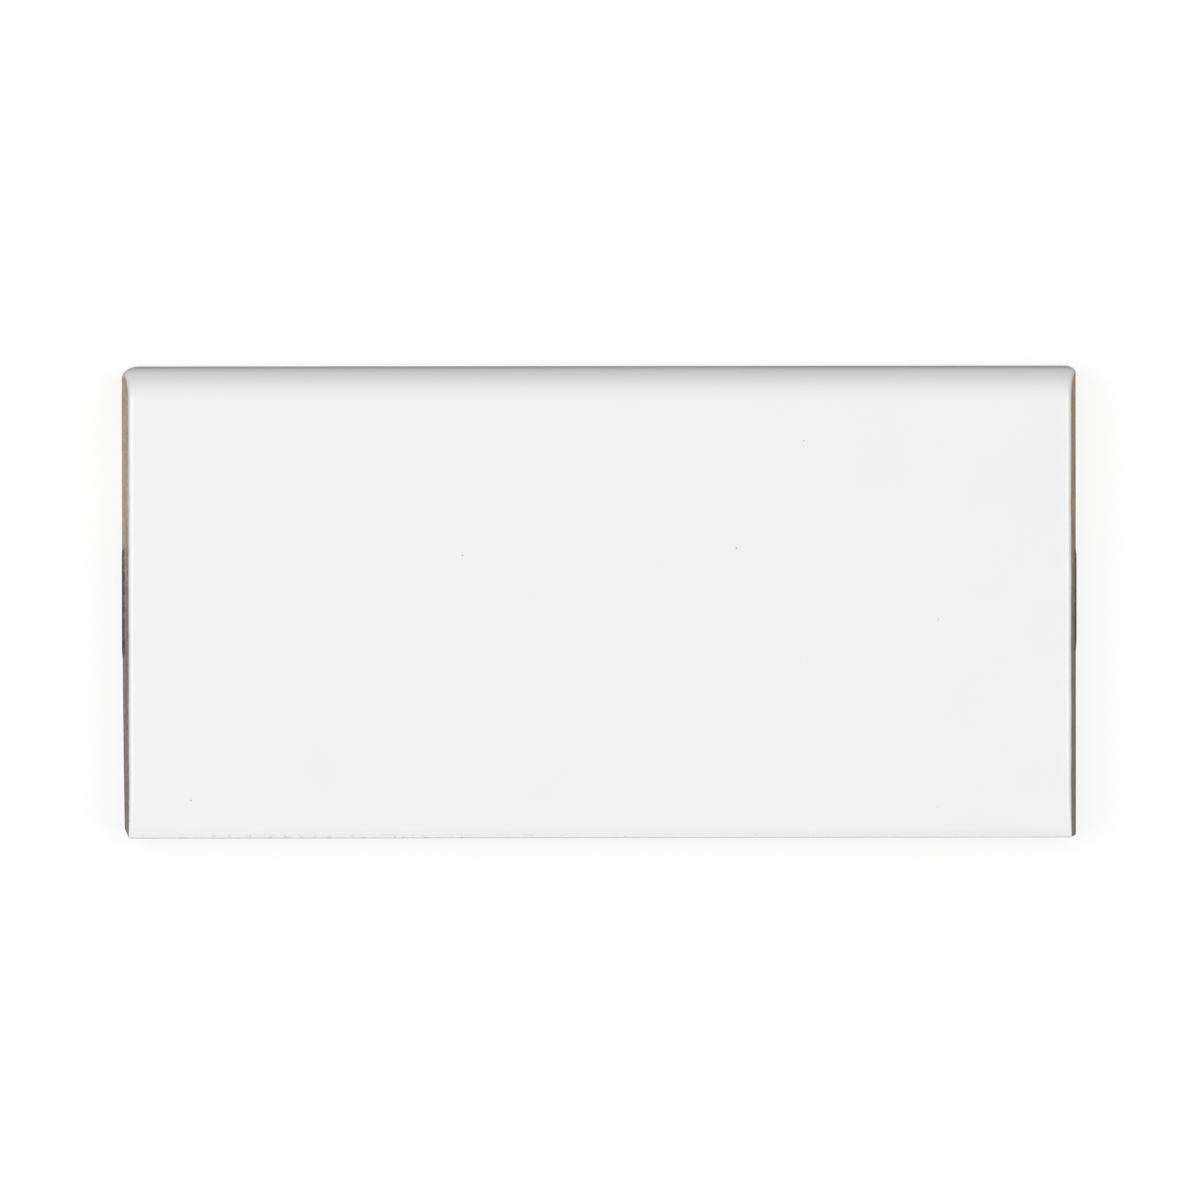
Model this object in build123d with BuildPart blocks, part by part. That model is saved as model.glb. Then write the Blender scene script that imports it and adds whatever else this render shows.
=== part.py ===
from build123d import *
from math import radians, tan
import os

# A ceramic bullnose wall tile, lying on its back with the glazed face up.
# X runs along the length, Y from the plain edge to the bullnose and Z up from the back.
# All lengths are in millimetres, and angles are in degrees.

# Face and thickness
face_length = 152.4
tile_width = 76.2
thickness = 8.0

# Bullnose: a quarter round that ends in an upright land above the back
nose_land = 2.0

# Short sides: they slope outwards from the face to the back
end_draft = 6.0

# Soft edges: the cushion round the face, and the two upright corners of the plain edge
cushion_radius = 1.3
corner_radius = 2.0

# Spacer lug in the middle of each short side, with an upright outer face and a sloping top
lug_length = 15.5
lug_height = 2.6
lug_reach = 0.9
lug_top_slope = 60.0

# Keyed back: shallow pockets with sloping walls, between ribs that carry the tile
pocket_size = 13.5
pocket_depth = 0.6
pocket_corner = 1.5
pocket_wall_draft = 25.0
rib_width = 2.5
least_back_border = 4.5

# Values that follow from those above
half_length = face_length / 2
nose_radius = thickness - nose_land
lug_top_rise = lug_reach * tan(radians(lug_top_slope))
pocket_pitch = pocket_size + rib_width
pocket_columns = int((face_length - 2 * least_back_border + rib_width) // pocket_pitch)
pocket_rows = int((tile_width - 2 * least_back_border + rib_width) // pocket_pitch)

with BuildPart() as bullnose_tile:
    # The pressed blank, whose short sides slope from the edge of the face
    with BuildSketch():
        Rectangle(face_length, tile_width)
    extrude(amount=thickness)
    short_sides = bullnose_tile.faces().filter_by(Axis.X)
    draft(short_sides, neutral_plane=Plane.XY.offset(thickness), angle=end_draft)

    # The bullnose rounds over the far long edge of the face
    face = bullnose_tile.faces().sort_by(Axis.Z)[-1]
    fillet(face.edges().sort_by(Axis.Y)[-1], radius=nose_radius)

    # The plain edge's two upright corners
    plain_side = bullnose_tile.faces().sort_by(Axis.Y)[0]
    fillet(plain_side.edges().filter_by(Axis.X, reverse=True), radius=corner_radius)

    # The cushion follows the face's outline, and runs on down both ends of the bullnose
    face = bullnose_tile.faces().sort_by(Axis.Z)[-1]
    fillet(face.edges().sort_by(Axis.Y)[:-1], radius=cushion_radius)

    # The spacer lugs, whose profile starts inside the blank
    with BuildSketch(Plane.XZ):
        with BuildLine():
            Polyline(
                (half_length, 0),
                (half_length + lug_reach, 0),
                (half_length + lug_reach, lug_height),
                (half_length, lug_height + lug_top_rise),
                close=True,
            )
        make_face()
        mirror(about=Plane.YZ)
    extrude(amount=lug_length / 2, both=True)

    # The keyed back
    with BuildSketch():
        with GridLocations(pocket_pitch, pocket_pitch, pocket_columns, pocket_rows):
            RectangleRounded(pocket_size, pocket_size, pocket_corner)
    extrude(amount=pocket_depth, taper=pocket_wall_draft, mode=Mode.SUBTRACT)

bullnose_tile.part.label = "bullnose_tile"

os.makedirs("parts", exist_ok=True)
export_step(bullnose_tile.part, "parts/bullnose_tile.step")
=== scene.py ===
"""Looks of a ceramic bullnose tile: white gloss glaze on a pressed clay body, in a plain pale studio."""
import math
from collections import namedtuple

import bpy
import numpy as np
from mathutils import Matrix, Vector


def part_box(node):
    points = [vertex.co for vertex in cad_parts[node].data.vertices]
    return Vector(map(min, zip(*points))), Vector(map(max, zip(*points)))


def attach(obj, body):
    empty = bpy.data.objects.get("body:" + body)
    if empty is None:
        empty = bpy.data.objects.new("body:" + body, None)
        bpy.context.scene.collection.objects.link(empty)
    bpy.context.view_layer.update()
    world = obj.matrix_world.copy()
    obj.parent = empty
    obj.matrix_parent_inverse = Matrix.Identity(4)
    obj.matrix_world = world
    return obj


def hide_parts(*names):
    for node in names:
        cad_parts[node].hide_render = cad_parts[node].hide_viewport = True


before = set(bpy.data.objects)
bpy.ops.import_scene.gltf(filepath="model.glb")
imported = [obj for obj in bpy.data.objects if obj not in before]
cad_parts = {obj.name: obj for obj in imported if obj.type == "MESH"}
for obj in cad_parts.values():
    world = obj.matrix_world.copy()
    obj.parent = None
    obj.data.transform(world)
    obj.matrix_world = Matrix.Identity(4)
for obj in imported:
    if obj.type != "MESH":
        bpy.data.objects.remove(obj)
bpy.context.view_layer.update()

# Shapes are worked out in millimetres and stored in metres
MM = 0.001

# Sizes that the frame gives: X along the length, Y towards the bullnose, Z out of the face
_, tile_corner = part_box("bullnose_tile")
half_width = tile_corner.y / MM
thickness = tile_corner.z / MM

# Spacer lug in the middle of each short side. It is dark grey in full where it stands out by lug_full_reach.
lug_reach = 0.9
lug_height = 2.6
lug_meets_side = 3.4
lug_half_length = 7.75
lug_top_slope = math.radians(60)
lug_end_slope = 0.2
lug_full_reach = 0.08

# The pressed body: its edges, the corners of its foot, and the width of its sloping short sides
half_length = tile_corner.x / MM - lug_reach
nose_land = 2.0
nose_radius = thickness - nose_land
end_round = 0.95
plain_round = 0.45
plain_turn = 0.4
plain_fall = 0.28
plain_fall_width = 1.6
plain_turn_width = 6.0
left_plain_corner = 1.9
right_plain_corner = 0.7
left_nose_corner = 2.2
right_nose_corner = 1.4
nose_strip = 0.92
left_plain_strip = 0.48
right_plain_strip = 0.88
foot_wear = 0.12
foot_height = 0.13

# Keyed back
pocket_size = 13.5
pocket_pitch = 16.0
pocket_columns = 9
pocket_rows = 4
pocket_depth = 0.6
pocket_corner = 1.5
pocket_wall = 0.3
pockets_half_length = pocket_columns * pocket_pitch / 2
pockets_half_width = pocket_rows * pocket_pitch / 2

# Glaze: where it stops on the soft end edges, the plain side and the foot of the nose, where it thins over
# the end edges with painted shade on it, and where shade is painted low on the nose.
# Angles are in radians, levels are shares of a side's height, and places on the nose are given by the Y part
# of its normal.
glaze_thickness = 0.1
end_glaze_angle = math.radians(68)
end_lip_angle = math.radians(3)
end_glaze_sway = math.radians(5)
end_sway_bias = 0.3
# From this angle on, the ends' soft edges turn grey: partly glaze thinning, partly painted shade
end_thinning_and_shade_angle = 0.35
nose_glaze_lap = math.radians(20)
nose_lap_range = (0.2, 0.9)
# Where shade is painted low on the nose, as the Y part of its normal
nose_painted_shade_range = (0.86, 0.99)
side_glaze_level = 0.95
foot_glaze_level = 0.17
lip_level = 0.012

# The fired face: a sag next to three edges, and two sets of waves, each wave as height, length and phase
face_sag = 0.08
face_sag_width = 5.0
long_waves = ((0.008, 47, 0.4), (0.004, 19, 2.1))
cross_waves = ((0.006, 31, 1.2), (0.003, 13, 0.2))

# Mesh: the widest steps between grid lines, the points on each curve, and the angle of a sharp edge.
# The step of levels is a share of a side's height.
level_step = 0.06
face_step = 2.0
length_step = 2.2
fall_points = 7
cushion_points = 10
nose_points = 30
glazed_turn_points = 10
bare_turn_points = 4
sharp_angle = math.radians(35)

Section = namedtuple("Section", "levels y z normal_y normal_z left_turn right_turn level glaze_line top")


# Shape helpers


def smooth_step(start, end, value):
    """0 up to start, 1 from end on, and the cubic 3t^2 - 2t^3 between them."""
    share = np.clip((value - start) / (end - start), 0, 1)
    return share * share * (3 - 2 * share)


def ripple(place, *waves):
    """Sum of sine waves along a place in millimetres. Each wave is (height, length, phase)."""
    return sum(height * np.sin(2 * np.pi * place / length + phase) for height, length, phase in waves)


def lines_between(breaks, widest):
    """Sorted grid lines: every break, with each gap divided evenly so that no step is wider than widest."""
    rounding_room = 1e-6
    breaks = np.unique(np.round(breaks, 5))
    gaps = np.diff(breaks)
    parts = np.ceil(gaps / widest - rounding_room).astype(int)
    first = np.repeat(np.cumsum(parts) - parts, parts)
    count = np.arange(parts.sum()) - first
    inner = np.repeat(breaks[:-1], parts) + np.repeat(gaps / parts, parts) * count
    return np.append(inner, breaks[-1])


def foot_inset(z):
    """How far the worn foot stands back: a parabola from foot_wear at the floor to 0 at foot_height."""
    return foot_wear * np.clip(1 - z / foot_height, 0, 1) ** 2


def pocket_lines(count):
    """Grid lines across a row of pockets: close together at the walls and round the pockets' corners."""
    centres = (np.arange(count) - (count - 1) / 2) * pocket_pitch
    from_edge = np.array([-0.12, 0, 0.1, 0.2, 0.3, 0.45, 0.8, 1.2, 1.8])
    offsets = pocket_size / 2 - from_edge
    return (centres[:, None] + np.concatenate([-offsets, offsets])).ravel()


def pocket_relief(x, y):
    """Share of the pocket depth at a place on the back.

    The distance to a rounded square, repeated at the pitch, goes through a smooth step over the wall.
    """
    across = np.abs(np.mod(x + pockets_half_length, pocket_pitch) - pocket_pitch / 2)
    along = np.abs(np.mod(y + pockets_half_width, pocket_pitch) - pocket_pitch / 2)
    straight = pocket_size / 2 - pocket_corner
    outside = np.hypot(np.maximum(across - straight, 0), np.maximum(along - straight, 0))
    inside = np.minimum(np.maximum(across, along) - straight, 0)
    depth_in = pocket_corner - outside - inside
    in_columns = np.abs(x) < pockets_half_length
    in_rows = np.abs(y) < pockets_half_width
    return smooth_step(0, pocket_wall, depth_in) * in_columns * in_rows


def grid_faces(first, rows, columns, outward):
    """Four-sided faces of a grid of points numbered row by row, in reverse order where outward is -1."""
    corner = first + np.arange(rows - 1)[:, None] * columns + np.arange(columns - 1)
    faces = np.stack([corner, corner + columns, corner + columns + 1, corner + 1], axis=-1)
    return faces.reshape(-1, 4)[:, ::outward]


# The tile


def upright_levels():
    """Heights on the upright sides as shares of the side's own height.

    They are close together at the worn foot, the lug's edges and the two glaze lines.
    """
    worn = [0, 0.008, 0.02, 0.06]
    side_height = thickness - end_round
    lug = [lug_height / side_height, lug_meets_side / side_height]
    glaze_lines = np.array([side_glaze_level, foot_glaze_level])
    return lines_between([
        *worn, *lug, *(glaze_lines - lip_level / 2), *(glaze_lines + lip_level / 2), 1,
    ], level_step)


def section():
    """Outline across the tile, from the foot of the plain side over the face to the foot of the nose.

    An upright line, an arc of plain_round, a parabola that rises by plain_fall to a level line, a quarter
    circle of nose_radius and an upright line. With it come the outward normal, the radius of the turn into
    each short side, the share of the upright height and the glaze line's share. A turn is end_round,
    tightens to plain_turn at the plain edge, and changes to the corner's own radius at the foot.
    """
    levels = upright_levels()
    below = levels[:-1]
    edge_slope = 2 * plain_fall / plain_fall_width
    edge_tilt = math.atan(edge_slope)
    side_top = thickness - plain_fall - plain_round * math.cos(edge_tilt)
    arc_centre = plain_round - half_width
    face_start = arc_centre - plain_round * math.sin(edge_tilt)
    face_end = half_width - nose_radius
    lug_ends = np.array([lug_half_length, lug_half_length + lug_end_slope])
    fall_lines = face_start + plain_fall_width * np.linspace(0, 1, fall_points)
    breaks = np.concatenate([pocket_lines(pocket_rows), lug_ends, -lug_ends, fall_lines])
    breaks = breaks[(breaks > face_start) & (breaks < face_end)]
    face_y = lines_between([face_start, face_end, *breaks], face_step)[1:-1]
    short_of_level = np.clip(1 - (face_y - face_start) / plain_fall_width, 0, 1)
    face_tilt = np.arctan(edge_slope * short_of_level)
    cushion = np.linspace(np.pi, np.pi / 2 + edge_tilt, cushion_points)
    nose = np.linspace(np.pi / 2, 0, nose_points)
    upright = np.ones_like(below)

    y = np.concatenate([
        -half_width * upright,
        arc_centre + plain_round * np.cos(cushion),
        face_y,
        face_end + nose_radius * np.cos(nose),
        half_width * upright,
    ])
    z = np.concatenate([
        side_top * below,
        side_top + plain_round * np.sin(cushion),
        thickness - plain_fall * short_of_level ** 2,
        nose_land + nose_radius * np.sin(nose),
        nose_land * below[::-1],
    ])
    normal_y = np.concatenate([-upright, np.cos(cushion), -np.sin(face_tilt), np.cos(nose), upright])
    normal_z = np.concatenate([0 * upright, np.sin(cushion), np.cos(face_tilt), np.sin(nose), 0 * upright])
    widening = np.concatenate([1 - below, 0 * cushion, 0 * face_y, (1 - np.sin(nose)) ** 2, upright])
    near_plain = smooth_step(face_start + plain_turn_width, face_start, y)
    edge_turn = end_round - (end_round - plain_turn) * near_plain
    left_corner = np.where(y > 0, left_nose_corner, left_plain_corner)
    right_corner = np.where(y > 0, right_nose_corner, right_plain_corner)
    left_turn = edge_turn + (left_corner - edge_turn) * widening
    right_turn = edge_turn + (right_corner - edge_turn) * widening
    top = slice(len(below), len(y) - len(below))
    level = np.concatenate([below, np.ones(top.stop - top.start), below[::-1]])
    glaze_line = np.where(y > 0, foot_glaze_level, side_glaze_level)
    return Section(levels, y, z, normal_y, normal_z, left_turn, right_turn, level, glaze_line, top)


def stations():
    """Places along the length: a share of the straight run, from -1 to 1, and an angle round the turn."""
    straight = half_length - end_round
    run = lines_between([-straight, straight, *pocket_lines(pocket_columns)], length_step) / straight
    before = np.linspace(0, end_glaze_angle - end_lip_angle, glazed_turn_points)[1:]
    after = np.linspace(end_glaze_angle + end_lip_angle, np.pi / 2, bare_turn_points)
    turn = np.concatenate([before, after])
    share = np.concatenate([-np.ones_like(turn), run, np.ones_like(turn)])
    angle = np.concatenate([turn[::-1], np.zeros_like(run), turn])
    return share, angle


def bare_points(cut, angle):
    """Points of the skin past the glaze lines, where the clay shows."""
    return (angle > end_glaze_angle)[:, None] | (cut.level < cut.glaze_line)


def face_fall(x, y):
    """How far the fired face lies below its highest level: two sets of waves, and a sag next to three edges.

    The waves start from the sum of their heights, so that they never rise above that level.
    """
    waves = ripple(0.9 * x + 0.3 * y, *long_waves) + ripple(0.4 * y - 0.7 * x, *cross_waves)
    highest_wave = sum(height for height, _, _ in long_waves + cross_waves)
    to_edge = np.minimum(half_length - end_round - np.abs(x), y + half_width - plain_round)
    sag = face_sag * np.clip(1 - to_edge / face_sag_width, 0, 1) ** 2
    return highest_wave + waves + sag


def outer_skin(cut, share, angle):
    """Plain side, face and nose as one grid, before the short sides get their slope.

    The section is carried along X. Round each end it moves in along its normal by turn * (1 - cos(angle)),
    while X grows by turn * sin(angle), which rounds the end's edges. The glaze lines wander by small waves,
    and the glaze laps further round the ends of the nose.
    Last, each point sinks along its normal: by the glaze's thickness where the clay is bare, by the wear at
    the foot, and by the fall of the face.
    """
    end = np.sign(share)[:, None]
    walked = np.cumsum(np.hypot(np.gradient(cut.y), np.gradient(cut.z)))
    sway = end_glaze_sway * ripple(walked, (0.6, 23, 0.3), (0.4, 7.3, 1.9)) * (1 + end_sway_bias * end)
    on_nose = smooth_step(*nose_lap_range, cut.normal_y)
    glaze_shift = sway * (1 - on_nose) + nose_glaze_lap * on_nose
    round_end = angle[:, None] + np.sin(2 * angle)[:, None] * glaze_shift
    turn = np.where(end > 0, cut.right_turn, cut.left_turn)
    moved_in = turn * (1 - np.cos(round_end))
    x = share[:, None] * (half_length - turn) + end * turn * np.sin(round_end)
    y = cut.y - cut.normal_y * moved_in
    z = cut.z - cut.normal_z * moved_in

    # Both lines wander most near their own level, and not at all at the ends of the upright side
    wander = ripple(x, (0.07, 37, 0.2), (0.05, 11, 1.4), (0.03, 4.7, 2.2))
    at_foot_line = 6 * cut.level * (1 - cut.level) ** 2
    at_side_line = 12 * cut.level ** 8 * (1 - cut.level)
    z = z + np.where(cut.y > 0, at_foot_line, at_side_line) * wander

    depth = glaze_thickness * bare_points(cut, angle) + foot_inset(z) + face_fall(x, y) * cut.normal_z ** 2
    x = x - end * np.sin(round_end) * depth
    y = y - cut.normal_y * np.cos(round_end) * depth
    z = np.maximum(z - cut.normal_z * np.cos(round_end) * depth, 0)
    return np.stack([x, y, z], axis=-1)


def thinned_glaze_and_shade(cut, angle):
    """Share from 0 to 1: over the ends' soft edges up to the glaze line, where the glaze thins and shade is
    painted on it, and low on the nose, where shade is painted.
    """
    near_end = smooth_step(end_thinning_and_shade_angle, end_glaze_angle, angle)[:, None]
    # Painted shade low on the nose
    nose_painted_shade = smooth_step(*nose_painted_shade_range, cut.normal_y)
    return np.maximum(near_end, nose_painted_shade)


def end_face(cut, edge):
    """A short side: a ruled grid from the foot's straight line up to the skin's own end line."""
    upper = edge[cut.top]
    rise = cut.levels[:, None]
    foot_y = np.interp(cut.y[cut.top], [-half_width, half_width], [edge[0, 1], edge[-1, 1]])
    z = upper[:, 2] * rise
    y = foot_y + (upper[:, 1] - foot_y) * rise
    x = np.sign(upper[0, 0]) * (half_length - glaze_thickness - foot_inset(z))
    face = np.stack([x, y, z], axis=-1)
    count = len(cut.levels)
    face[:, 0] = edge[:count]
    face[:, -1] = edge[-count:][::-1]
    face[-1] = upper
    return face


def keyed_back(cut, share, angle, skin, left_end, right_end):
    """The back: a level grid with the pockets pressed into it. Its border is the foot of the sides.

    Outside the pockets each point moves towards the foot's own line, by its share of the way to the border.
    """
    inside_foot = end_round - glaze_thickness - foot_wear
    along = share * (half_length - end_round) + np.sign(share) * inside_foot * angle / (np.pi / 2)
    y = cut.y[cut.top]
    border = np.clip((np.abs(y) - pockets_half_width) / (half_width - pockets_half_width), 0, 1)
    foot = np.where(y > 0, skin[:, -1:, :2].transpose(2, 0, 1), skin[:, :1, :2].transpose(2, 0, 1))
    x = along[:, None] + border * (foot[0] - along[:, None])
    y = y + border * (foot[1] - half_width * np.sign(y))
    back = np.stack([x, y, pocket_depth * pocket_relief(x, y)], axis=-1)
    back[:, 0] = skin[:, 0]
    back[:, -1] = skin[:, -1]
    back[0] = left_end[0]
    back[-1] = right_end[0]
    return back


def slope_ends(points, on_end):
    """Short sides slope out from the face to the back, most at the nose, and carry the spacer lugs.

    The slope adds strip * (1 - z / thickness), fading to nothing at the pockets. The strip narrows with the
    cube of the distance from the nose, and nothing stands out further than the lugs. A lug is the larger of
    that and its own profile, an upright face with a 60 degree slope above it, between two short end slopes.
    Gives the points and how far the lug stands out.
    """
    x, y, z = points.T
    side = np.abs(x)
    reach = np.clip((side - pockets_half_length) / (half_length - pockets_half_length), 0, 1)
    from_nose = (half_width - y) / (2 * half_width)
    plain_strip = np.where(x > 0, right_plain_strip, left_plain_strip)
    strip = nose_strip - (nose_strip - plain_strip) * from_nose ** 3
    furthest = half_length + lug_reach
    out = side + reach * (glaze_thickness + strip) * (1 - z / thickness)
    out = np.minimum(out, furthest)
    lug_out = furthest - np.maximum(z - lug_height, 0) / math.tan(lug_top_slope) - foot_inset(z)
    on_lug = on_end * (1 - smooth_step(lug_half_length, lug_half_length + lug_end_slope, np.abs(y)))
    lug = on_lug * np.maximum(lug_out - out, 0)
    return np.stack([np.sign(x) * (out + lug), y, z], axis=-1), lug


def tile_mesh():
    """All grids in one closed mesh, with shared points joined and a glaze or clay finish on each face."""
    cut = section()
    share, angle = stations()
    skin = outer_skin(cut, share, angle)
    left_end = end_face(cut, skin[0])
    right_end = end_face(cut, skin[-1])
    back = keyed_back(cut, share, angle, skin, left_end, right_end)
    grids = [(skin, 1), (left_end, 1), (right_end, -1), (back, -1)]
    sizes = [grid.shape[0] * grid.shape[1] for grid, _ in grids]
    firsts = np.cumsum([0, *sizes])
    faces = np.concatenate([
        grid_faces(first, *grid.shape[:2], outward) for first, (grid, outward) in zip(firsts, grids)
    ])
    # Adding zero turns -0.0 into 0.0, so that equal points are joined
    points = np.concatenate([grid.reshape(-1, 3) for grid, _ in grids]) + 0.0
    points, joined = np.unique(points, axis=0, return_inverse=True)
    joined = joined.reshape(-1)
    faces = joined[faces]

    glazed = ~bare_points(cut, angle)
    any_glazed = glazed[:-1, :-1] | glazed[1:, :-1] | glazed[:-1, 1:] | glazed[1:, 1:]
    finish = np.ones(len(faces), dtype=np.int32)
    finish[:any_glazed.size] = np.where(any_glazed.ravel(), 0, 1)

    on_end = np.zeros(len(points))
    on_end[joined[firsts[1]:firsts[3]]] = 1
    # Glaze thinning and painted shade, kept on the points
    thinning_and_shade = np.zeros(len(points))
    thinning_and_shade[joined[:firsts[1]]] = np.broadcast_to(thinned_glaze_and_shade(cut, angle), skin.shape[:2]).ravel()
    pocket = np.zeros(len(points))
    pocket[joined[firsts[3]:]] = back[..., 2].ravel() / pocket_depth
    points, lug = slope_ends(points, on_end)

    mesh = bpy.data.meshes.new("glazed_tile")
    mesh.from_pydata((points * MM).tolist(), [], faces.tolist())
    mesh.polygons.foreach_set("material_index", finish)
    mesh.polygons.foreach_set("use_smooth", np.ones(len(faces), dtype=bool))
    on_lug = np.clip(lug / lug_full_reach, 0, 1)
    for name, values in (("thinned_glaze_and_shade", thinning_and_shade), ("pocket", pocket), ("lug", on_lug)):
        attribute = mesh.attributes.new(name, "FLOAT", "POINT")
        attribute.data.foreach_set("value", values.astype(np.float32))
    mesh.validate()
    mesh.update()
    mesh.set_sharp_from_angle(angle=sharp_angle)
    return mesh


# Materials

# Sockets of a Mix node for colours: the inputs A and B, and the result
MIX_A, MIX_B, MIX_COLOUR = 6, 7, 2


def linear(hex_colour):
    """An sRGB hex colour as linear red, green, blue and alpha."""
    srgb = np.array([int(hex_colour[start:start + 2], 16) for start in (1, 3, 5)]) / 255
    rgb = np.where(srgb <= 0.04045, srgb / 12.92, ((srgb + 0.055) / 1.055) ** 2.4)
    return (*rgb.tolist(), 1.0)


def per_size(size_mm):
    """Texture scale at which one feature of a pattern is size_mm across."""
    return 1 / (size_mm * MM)


def add(tree, kind, sockets=None, **settings):
    """Adds a node. sockets maps an input's name or number to a value, or to the output that feeds it."""
    node = tree.nodes.new(kind)
    for name, value in settings.items():
        setattr(node, name, value)
    for socket, value in (sockets or {}).items():
        if isinstance(value, bpy.types.NodeSocket):
            tree.links.new(value, node.inputs[socket])
        else:
            node.inputs[socket].default_value = value
    return node


def new_material(name):
    """An empty node material, its tree and its output node."""
    material = bpy.data.materials.new(name)
    material.use_nodes = True
    tree = material.node_tree
    tree.nodes.clear()
    return material, tree, add(tree, "ShaderNodeOutputMaterial")


def white_gloss_glaze():
    """Opaque white gloss glaze, sprayed on a pressed body and fired.

    To the eye it is a clean neutral white with sharp reflections that waver a little and a few faint
    pinholes. Over the ends' soft edges it turns greyer towards its line, partly where the glaze thins and
    partly as painted shade. Low on the nose it carries painted shade in cool grey, and the plain edge has
    small flecks.
    """
    material, tree, output = new_material("white_gloss_glaze")
    place = add(tree, "ShaderNodeTexCoord").outputs["Object"]
    axes = add(tree, "ShaderNodeSeparateXYZ", {"Vector": place}).outputs

    # Faint clouds in the white, from uneven thickness
    clouds = add(tree, "ShaderNodeTexNoise", {"Vector": place, "Scale": per_size(16), "Detail": 3.0})
    white = add(tree, "ShaderNodeMix", {
        0: clouds.outputs["Fac"], MIX_A: linear("#EFEFEF"), MIX_B: linear("#F3F3F3"),
    }, data_type="RGBA")

    # Pinholes about 0.2 mm wide, one in about a twelfth of the 11 mm cells
    cell_mm = 11.0
    cells = add(tree, "ShaderNodeTexVoronoi", {"Vector": place, "Scale": per_size(cell_mm)},
                voronoi_dimensions="2D")
    hole = add(tree, "ShaderNodeMapRange", {
        "Value": cells.outputs["Distance"], "From Min": 0.15 / cell_mm, "From Max": 0.07 / cell_mm,
    })
    chance = add(tree, "ShaderNodeSeparateColor", {"Color": cells.outputs["Color"]})
    strength = add(tree, "ShaderNodeMapRange", {
        "Value": chance.outputs["Red"], "From Min": 0.92, "From Max": 1.0,
    })
    pinhole = add(tree, "ShaderNodeMath", {
        0: hole.outputs[0], 1: strength.outputs[0],
    }, operation="MULTIPLY")
    dotted = add(tree, "ShaderNodeMix", {
        0: pinhole.outputs[0], MIX_A: white.outputs[MIX_COLOUR], MIX_B: linear("#9A968F"),
    }, data_type="RGBA")

    # Cool grey where the glaze thins over the ends' soft edges, partly painted shade there, and painted
    # shade low on the nose
    thinning_and_shade = add(tree, "ShaderNodeAttribute", attribute_name="thinned_glaze_and_shade").outputs["Fac"]
    tint = add(tree, "ShaderNodeMath", {0: thinning_and_shade, 1: 0.5}, operation="MULTIPLY")
    greyed = add(tree, "ShaderNodeMix", {
        0: tint.outputs[0], MIX_A: dotted.outputs[MIX_COLOUR], MIX_B: linear("#A2B0B8"),
    }, data_type="RGBA")

    # Flecks about 1 mm long on the plain edge, more of them towards the left
    drawn_out = add(tree, "ShaderNodeMapping", {"Vector": place, "Scale": (0.6, 1.0, 1.0)})
    flecks = add(tree, "ShaderNodeTexNoise", {
        "Vector": drawn_out.outputs[0], "Scale": per_size(0.7), "Detail": 2.0,
    })
    to_left = add(tree, "ShaderNodeMapRange", {
        "Value": axes["X"], "From Min": 20 * MM, "From Max": -30 * MM, "To Min": 0.66, "To Max": 0.57,
    })
    over = add(tree, "ShaderNodeMath", {
        0: flecks.outputs["Fac"], 1: to_left.outputs[0],
    }, operation="SUBTRACT")
    patch = add(tree, "ShaderNodeMapRange", {"Value": over.outputs[0], "From Min": 0.0, "From Max": 0.05})
    on_plain_edge = add(tree, "ShaderNodeMapRange", {
        "Value": axes["Y"], "From Min": (0.8 - half_width) * MM, "From Max": (0.3 - half_width) * MM,
        "To Max": 0.28,
    })
    fleck = add(tree, "ShaderNodeMath", {
        0: patch.outputs[0], 1: on_plain_edge.outputs[0],
    }, operation="MULTIPLY")
    flecked = add(tree, "ShaderNodeMix", {
        0: fleck.outputs[0], MIX_A: greyed.outputs[MIX_COLOUR], MIX_B: linear("#A09A92"),
    }, data_type="RGBA")

    # Orange peel 2.5 mm across and a few microns high, the dents of the pinholes, and a rougher finish where
    # the glaze thins or shade is painted
    peel = add(tree, "ShaderNodeTexNoise", {"Vector": place, "Scale": per_size(2.5), "Detail": 1.0})
    peel_bump = add(tree, "ShaderNodeBump", {
        "Strength": 1.0, "Distance": 0.004 * MM, "Height": peel.outputs["Fac"],
    })
    dent_bump = add(tree, "ShaderNodeBump", {
        "Strength": 1.0, "Distance": 0.04 * MM, "Height": pinhole.outputs[0],
        "Normal": peel_bump.outputs[0],
    }, invert=True)
    haze = add(tree, "ShaderNodeTexNoise", {"Vector": place, "Scale": per_size(7), "Detail": 4.0})
    gloss = add(tree, "ShaderNodeMapRange", {
        "Value": haze.outputs["Fac"], "From Min": 0.3, "From Max": 0.7, "To Min": 0.1, "To Max": 0.14,
    })
    roughness = add(tree, "ShaderNodeMath", {
        0: thinning_and_shade, 1: 0.6, 2: gloss.outputs[0],
    }, operation="MULTIPLY_ADD")
    shader = add(tree, "ShaderNodeBsdfPrincipled", {
        "Base Color": flecked.outputs[MIX_COLOUR], "Roughness": roughness.outputs[0], "IOR": 1.52,
        "Normal": dent_bump.outputs[0],
    })
    tree.links.new(shader.outputs[0], output.inputs["Surface"])
    return material


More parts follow.
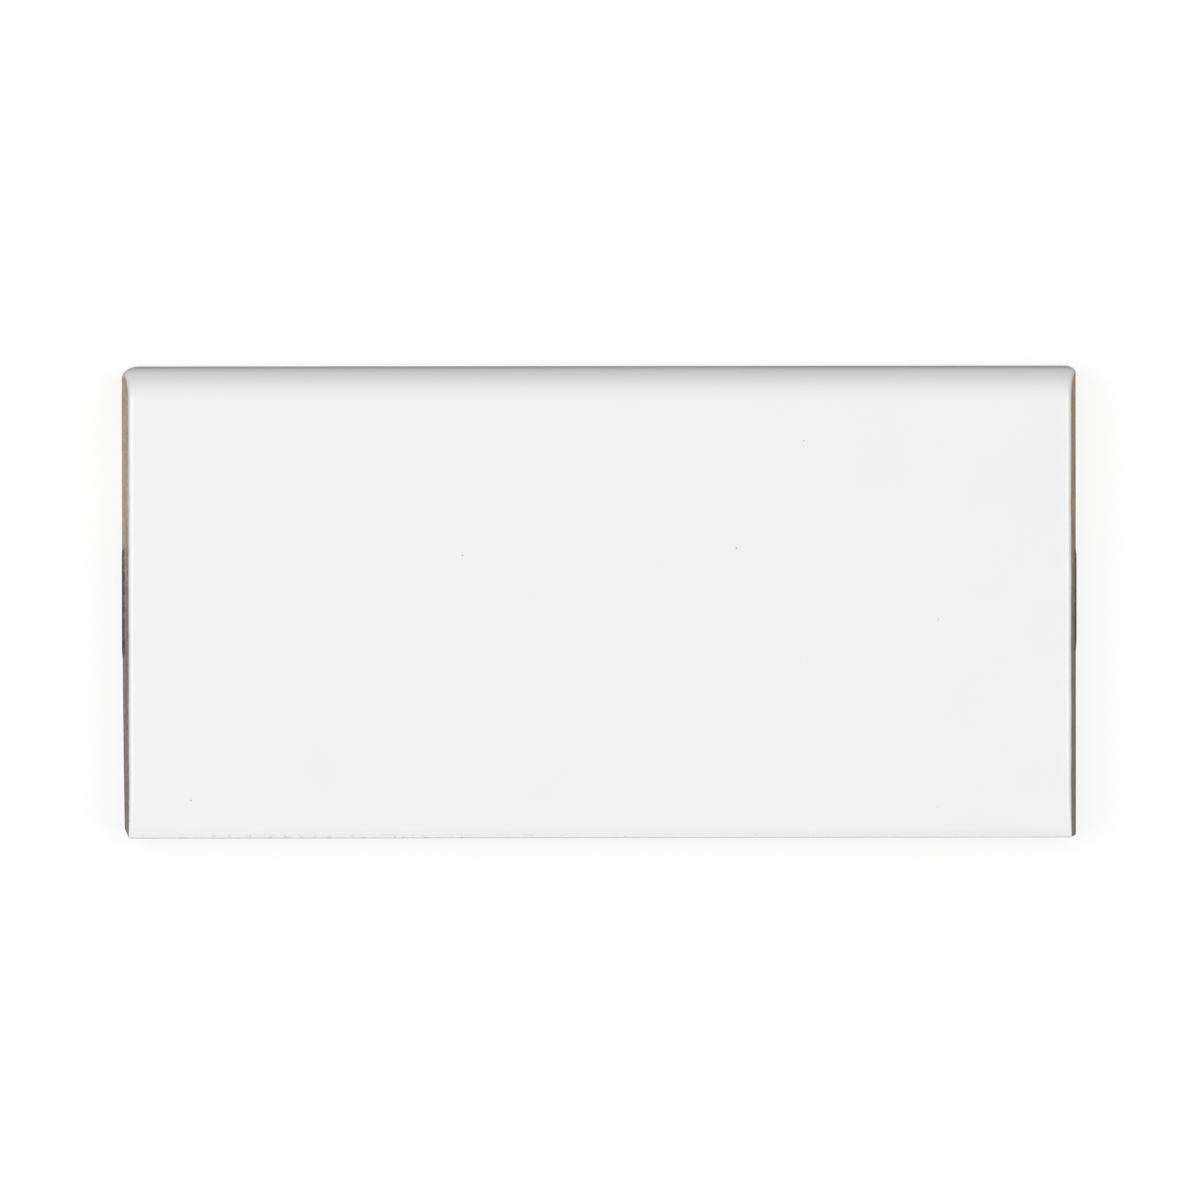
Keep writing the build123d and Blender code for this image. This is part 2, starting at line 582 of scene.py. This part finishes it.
def fired_clay():
    """Dust-pressed earthenware body, fired and left bare.

    To the eye it is matt tan, mottled and gritty, with dark and pale grains and small pits. Its sides have
    drag lines from the press die, a dusting of glaze under the glaze line, and a darker grey-brown towards
    the plain edge. The lugs are dark grey, and the pockets of the back hold paler dust.
    """
    material, tree, output = new_material("fired_clay")
    place = add(tree, "ShaderNodeTexCoord").outputs["Object"]
    axes = add(tree, "ShaderNodeSeparateXYZ", {"Vector": place}).outputs

    # Tan body with slow changes of tone, painted lighter at the left end and darker at the right as painted
    # light and shade, and mottling of about 3 mm
    tones = add(tree, "ShaderNodeTexNoise", {"Vector": place, "Scale": per_size(14), "Detail": 4.0})
    # Painted light and shade: the left end lighter, the right end darker
    painted_end_light = add(tree, "ShaderNodeMapRange", {
        "Value": axes["X"], "From Min": half_length * MM, "From Max": -half_length * MM,
        "To Min": -0.35, "To Max": 0.35,
    })
    tone = add(tree, "ShaderNodeMath", {
        0: tones.outputs["Fac"], 1: painted_end_light.outputs[0],
    }, operation="ADD")
    tan = add(tree, "ShaderNodeMix", {
        0: tone.outputs[0], MIX_A: linear("#B28E69"), MIX_B: linear("#D6BC9E"),
    }, data_type="RGBA")
    mottle = add(tree, "ShaderNodeTexNoise", {"Vector": place, "Scale": per_size(3), "Detail": 4.0})
    mottle_share = add(tree, "ShaderNodeMapRange", {
        "Value": mottle.outputs["Fac"], "From Min": 0.3, "From Max": 0.7,
    })
    mottled = add(tree, "ShaderNodeMix", {
        0: 0.3, MIX_A: tan.outputs[MIX_COLOUR], MIX_B: mottle_share.outputs[0],
    }, data_type="RGBA", blend_type="SOFT_LIGHT")

    # Grit of about 0.45 mm
    grit = add(tree, "ShaderNodeTexNoise", {"Vector": place, "Scale": per_size(0.45), "Detail": 3.0})
    grit_share = add(tree, "ShaderNodeMapRange", {
        "Value": grit.outputs["Fac"], "From Min": 0.35, "From Max": 0.65,
    })
    gritty = add(tree, "ShaderNodeMix", {
        0: 0.35, MIX_A: mottled.outputs[MIX_COLOUR], MIX_B: grit_share.outputs[0],
    }, data_type="RGBA", blend_type="SOFT_LIGHT")

    # Single grains of about 0.3 mm, some dark and some pale
    grain_mm = 1.7
    grains = add(tree, "ShaderNodeTexVoronoi", {"Vector": place, "Scale": per_size(grain_mm)})
    grain = add(tree, "ShaderNodeMapRange", {
        "Value": grains.outputs["Distance"], "From Min": 0.22 / grain_mm, "From Max": 0.12 / grain_mm,
        "To Max": 0.6,
    })
    chance = add(tree, "ShaderNodeSeparateColor", {"Color": grains.outputs["Color"]})
    pale = add(tree, "ShaderNodeMath", {0: chance.outputs["Red"], 1: 0.55}, operation="GREATER_THAN")
    grain_colour = add(tree, "ShaderNodeMix", {
        0: pale.outputs[0], MIX_A: linear("#5F4B3A"), MIX_B: linear("#DCCBB2"),
    }, data_type="RGBA")
    grained = add(tree, "ShaderNodeMix", {
        0: grain.outputs[0], MIX_A: gritty.outputs[MIX_COLOUR], MIX_B: grain_colour.outputs[MIX_COLOUR],
    }, data_type="RGBA")

    # Short sides darker grey-brown from the lugs to the plain edge, broken into blotches
    from_middle = add(tree, "ShaderNodeMath", {0: axes["X"]}, operation="ABSOLUTE").outputs[0]
    on_side = add(tree, "ShaderNodeMapRange", {
        "Value": from_middle, "From Min": (half_length - 1.2) * MM, "From Max": (half_length - 0.3) * MM,
    })
    side_wobble = add(tree, "ShaderNodeTexNoise", {"Vector": place, "Scale": per_size(4), "Detail": 5.0})
    side_wobble_shift = add(tree, "ShaderNodeMapRange", {
        "Value": side_wobble.outputs["Fac"], "From Min": 0.3, "From Max": 0.7,
        "To Min": -7 * MM, "To Max": 7 * MM,
    })
    wobbled_y = add(tree, "ShaderNodeMath", {0: axes["Y"], 1: side_wobble_shift.outputs[0]}, operation="ADD")
    towards_plain_edge = add(tree, "ShaderNodeMapRange", {
        "Value": wobbled_y.outputs[0], "From Min": 16 * MM, "From Max": 1 * MM,
    })
    blotches = add(tree, "ShaderNodeTexNoise", {
        "Vector": place, "Scale": per_size(1.2), "Detail": 5.0, "Roughness": 0.6,
    })
    blotch = add(tree, "ShaderNodeMapRange", {
        "Value": blotches.outputs["Fac"], "From Min": 0.38, "From Max": 0.58, "To Min": 0.5, "To Max": 0.95,
    })
    here = add(tree, "ShaderNodeMath", {0: towards_plain_edge.outputs[0], 1: on_side.outputs[0]}, operation="MULTIPLY")
    plain_darkening = add(tree, "ShaderNodeMath", {0: here.outputs[0], 1: blotch.outputs[0]}, operation="MULTIPLY")
    darker_to_plain = add(tree, "ShaderNodeMix", {
        0: plain_darkening.outputs[0], MIX_A: grained.outputs[MIX_COLOUR], MIX_B: linear("#807973"),
    }, data_type="RGBA")

    # Lugs dark grey, in streaks along them with a ragged edge on the slope above
    lug = add(tree, "ShaderNodeAttribute", attribute_name="lug").outputs["Fac"]
    lug_streak_place = add(tree, "ShaderNodeMapping", {"Vector": place, "Scale": (1.0, 0.4, 1.0)})
    lug_streaks = add(tree, "ShaderNodeTexNoise", {
        "Vector": lug_streak_place.outputs[0], "Scale": per_size(0.35), "Detail": 3.0,
    })
    lug_streak_share = add(tree, "ShaderNodeMapRange", {
        "Value": lug_streaks.outputs["Fac"], "From Min": 0.35, "From Max": 0.6, "To Min": 0.55, "To Max": 0.95,
    })
    ragged = add(tree, "ShaderNodeMath", {0: lug, 1: lug_streaks.outputs["Fac"]}, operation="ADD")
    worn = add(tree, "ShaderNodeMapRange", {"Value": ragged.outputs[0], "From Min": 0.8, "From Max": 1.05})
    lug_dark_share = add(tree, "ShaderNodeMath", {0: worn.outputs[0], 1: lug_streak_share.outputs[0]}, operation="MULTIPLY")
    dark_lugs = add(tree, "ShaderNodeMix", {
        0: lug_dark_share.outputs[0], MIX_A: darker_to_plain.outputs[MIX_COLOUR], MIX_B: linear("#423F3C"),
    }, data_type="RGBA")

    # Pits of uneven shape, up to 0.6 mm across
    pits = add(tree, "ShaderNodeTexNoise", {"Vector": place, "Scale": per_size(0.9), "Detail": 2.5})
    pit = add(tree, "ShaderNodeMapRange", {"Value": pits.outputs["Fac"], "From Min": 0.63, "From Max": 0.7})
    dark_pit = add(tree, "ShaderNodeMath", {0: pit.outputs[0], 1: 0.5}, operation="MULTIPLY")
    pitted = add(tree, "ShaderNodeMix", {
        0: dark_pit.outputs[0], MIX_A: dark_lugs.outputs[MIX_COLOUR], MIX_B: linear("#6A5644"),
    }, data_type="RGBA")

    # A dusting of glaze in fine spots, thickest just under the glaze line
    spray = add(tree, "ShaderNodeTexNoise", {
        "Vector": place, "Scale": per_size(0.55), "Detail": 4.0, "Roughness": 0.65,
    })
    under_line = add(tree, "ShaderNodeMapRange", {
        "Value": axes["Z"], "From Min": 4.4 * MM, "From Max": 7.2 * MM, "To Min": 0.8, "To Max": 0.57,
    })
    sprayed = add(tree, "ShaderNodeMath", {
        0: spray.outputs["Fac"], 1: under_line.outputs[0],
    }, operation="SUBTRACT")
    spot = add(tree, "ShaderNodeMapRange", {
        "Value": sprayed.outputs[0], "From Min": 0.0, "From Max": 0.06, "To Max": 0.45,
    })
    dusted = add(tree, "ShaderNodeMix", {
        0: spot.outputs[0], MIX_A: pitted.outputs[MIX_COLOUR], MIX_B: linear("#E2DDD5"),
    }, data_type="RGBA")

    # Paler dust in the pockets
    pocket = add(tree, "ShaderNodeAttribute", attribute_name="pocket").outputs["Fac"]
    in_pocket = add(tree, "ShaderNodeMath", {0: pocket, 1: 0.35}, operation="MULTIPLY")
    pale_pocket = add(tree, "ShaderNodeMix", {
        0: in_pocket.outputs[0], MIX_A: dusted.outputs[MIX_COLOUR], MIX_B: linear("#D9C9B3"),
    }, data_type="RGBA")

    # Relief: grit, pits, and drag lines 0.5 mm apart that run up the sides
    stretched = add(tree, "ShaderNodeMapping", {"Vector": place, "Scale": (1.0, 1.0, 0.06)})
    drag = add(tree, "ShaderNodeTexNoise", {
        "Vector": stretched.outputs[0], "Scale": per_size(0.5), "Detail": 1.0,
    })
    drag_bump = add(tree, "ShaderNodeBump", {
        "Strength": 0.8, "Distance": 0.05 * MM, "Height": drag.outputs["Fac"],
    })
    grit_bump = add(tree, "ShaderNodeBump", {
        "Strength": 0.9, "Distance": 0.08 * MM, "Height": grit.outputs["Fac"],
        "Normal": drag_bump.outputs[0],
    })
    pit_bump = add(tree, "ShaderNodeBump", {
        "Strength": 0.8, "Distance": 0.12 * MM, "Height": pit.outputs[0], "Normal": grit_bump.outputs[0],
    }, invert=True)
    shader = add(tree, "ShaderNodeBsdfPrincipled", {
        "Base Color": pale_pocket.outputs[MIX_COLOUR], "Roughness": 0.85, "IOR": 1.5,
        "Specular IOR Level": 0.3, "Normal": pit_bump.outputs[0],
    })
    tree.links.new(shader.outputs[0], output.inputs["Surface"])
    return material


def seen_rays(tree):
    """1 for the rays that show a background: from the camera, in reflections and through glass."""
    path = add(tree, "ShaderNodeLightPath").outputs
    seen = path["Is Camera Ray"]
    for kind in ("Is Glossy Ray", "Is Transmission Ray"):
        seen = add(tree, "ShaderNodeMath", {0: seen, 1: path[kind]}, operation="MAXIMUM").outputs[0]
    return seen


def white_paper():
    """Matt white paper under the tile.

    To the eye and in reflections it is white with the tile's soft shadow: a glow, and a share of the lamps'
    light that brings it up to white. It throws only a little light back on the tile.
    """
    glow_share = 0.8
    lit_share = 0.22
    bounce_share = 0.12
    material, tree, output = new_material("white_paper")
    matt = add(tree, "ShaderNodeBsdfDiffuse", {"Color": (bounce_share, bounce_share, bounce_share, 1)})
    lit = add(tree, "ShaderNodeBsdfDiffuse", {"Color": (lit_share, lit_share, lit_share, 1)})
    glow = add(tree, "ShaderNodeEmission", {"Color": (1, 1, 1, 1), "Strength": glow_share})
    bright = add(tree, "ShaderNodeAddShader", {0: lit.outputs[0], 1: glow.outputs[0]})
    either = add(tree, "ShaderNodeMixShader", {
        0: seen_rays(tree), 1: matt.outputs[0], 2: bright.outputs[0],
    })
    tree.links.new(either.outputs[0], output.inputs["Surface"])
    return material


def pale_surround(light_level, wall_level):
    """A pale studio that gives even light at light_level.

    Reflections show a white ceiling over duller walls of wall_level, and the camera sees plain white.
    """
    world = bpy.data.worlds.new("surround")
    world.use_nodes = True
    tree = world.node_tree
    tree.nodes.clear()
    direction = add(tree, "ShaderNodeTexCoord").outputs["Generated"]
    upward = add(tree, "ShaderNodeSeparateXYZ", {"Vector": direction}).outputs["Z"]
    shade = add(tree, "ShaderNodeMapRange", {
        "Value": upward, "From Min": 0.0, "From Max": 0.9, "To Min": wall_level, "To Max": 1.0,
    })
    to_camera = add(tree, "ShaderNodeLightPath").outputs["Is Camera Ray"]
    pale = add(tree, "ShaderNodeMath", {0: shade.outputs[0], 1: to_camera}, operation="MAXIMUM")
    even = add(tree, "ShaderNodeBackground", {"Color": (1, 1, 1, 1), "Strength": light_level})
    room = add(tree, "ShaderNodeBackground", {"Color": (1, 1, 1, 1), "Strength": pale.outputs[0]})
    either = add(tree, "ShaderNodeMixShader", {
        0: seen_rays(tree), 1: even.outputs[0], 2: room.outputs[0],
    })
    add(tree, "ShaderNodeOutputWorld", {"Surface": either.outputs[0]})
    return world


# The piece

tile = bpy.data.objects.new("glazed_tile", tile_mesh())
bpy.context.scene.collection.objects.link(tile)
tile.data.materials.append(white_gloss_glaze())
tile.data.materials.append(fired_clay())
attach(tile, "root")
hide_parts("bullnose_tile")

# The floor

floor_half = 12.0
floor_drop = 0.02 * MM
floor_mesh = bpy.data.meshes.new("floor")
floor_mesh.from_pydata(
    [(sx * floor_half, sy * floor_half, -floor_drop) for sx, sy in ((-1, -1), (1, -1), (1, 1), (-1, 1))],
    [], [(0, 1, 2, 3)],
)
floor = bpy.data.objects.new("floor", floor_mesh)
bpy.context.scene.collection.objects.link(floor)
floor_mesh.materials.append(white_paper())

# Light: two large soft lamps at the left and right, as on a copying stand, and a pale surround

lamp_distance = 2.2
lamp_tilt = math.radians(41)
lamp_height = 2.6
lamp_width = 2.1
for name, side, level in (("left_lamp", -1, 0.64), ("right_lamp", 1, 0.52)):
    lamp_data = bpy.data.lights.new(name, "AREA")
    lamp_data.shape = "RECTANGLE"
    lamp_data.size = lamp_height
    lamp_data.size_y = lamp_width
    # The power at which a small lamp at this place would light white matt paper to the level
    lamp_data.energy = level * math.pi ** 2 * lamp_distance ** 2 / math.cos(lamp_tilt)
    lamp = bpy.data.objects.new(name, lamp_data)
    lamp.location = (side * lamp_distance * math.sin(lamp_tilt), 0, lamp_distance * math.cos(lamp_tilt))
    lamp.rotation_euler = (0, side * lamp_tilt, 0)
    lamp.visible_camera = False
    bpy.context.scene.collection.objects.link(lamp)

bpy.context.scene.world = pale_surround(light_level=0.15, wall_level=0.45)

# Camera: straight above the face with a long lens, a little to the left of upright

picture_px = 1200
px_per_mm = 6.198
tile_centre_px = (600.1, 602.8)
camera_lean = math.radians(1.2)
camera_roll = math.radians(-0.07)
camera_data = bpy.data.cameras.new("camera")
camera_data.lens = 1000
camera_data.sensor_width = 36
camera_data.clip_end = 60
camera_distance = picture_px / px_per_mm * MM * camera_data.lens / camera_data.sensor_width
aim = (
    (picture_px / 2 - tile_centre_px[0]) / px_per_mm * MM,
    (tile_centre_px[1] - picture_px / 2) / px_per_mm * MM,
    thickness * MM,
)
camera = bpy.data.objects.new("camera", camera_data)
camera.location = (
    aim[0] - camera_distance * math.sin(camera_lean),
    aim[1],
    aim[2] + camera_distance * math.cos(camera_lean),
)
camera.rotation_euler = (0, -camera_lean, camera_roll)
bpy.context.scene.collection.objects.link(camera)
bpy.context.scene.camera = camera
bpy.context.scene.view_settings.view_transform = "Standard"
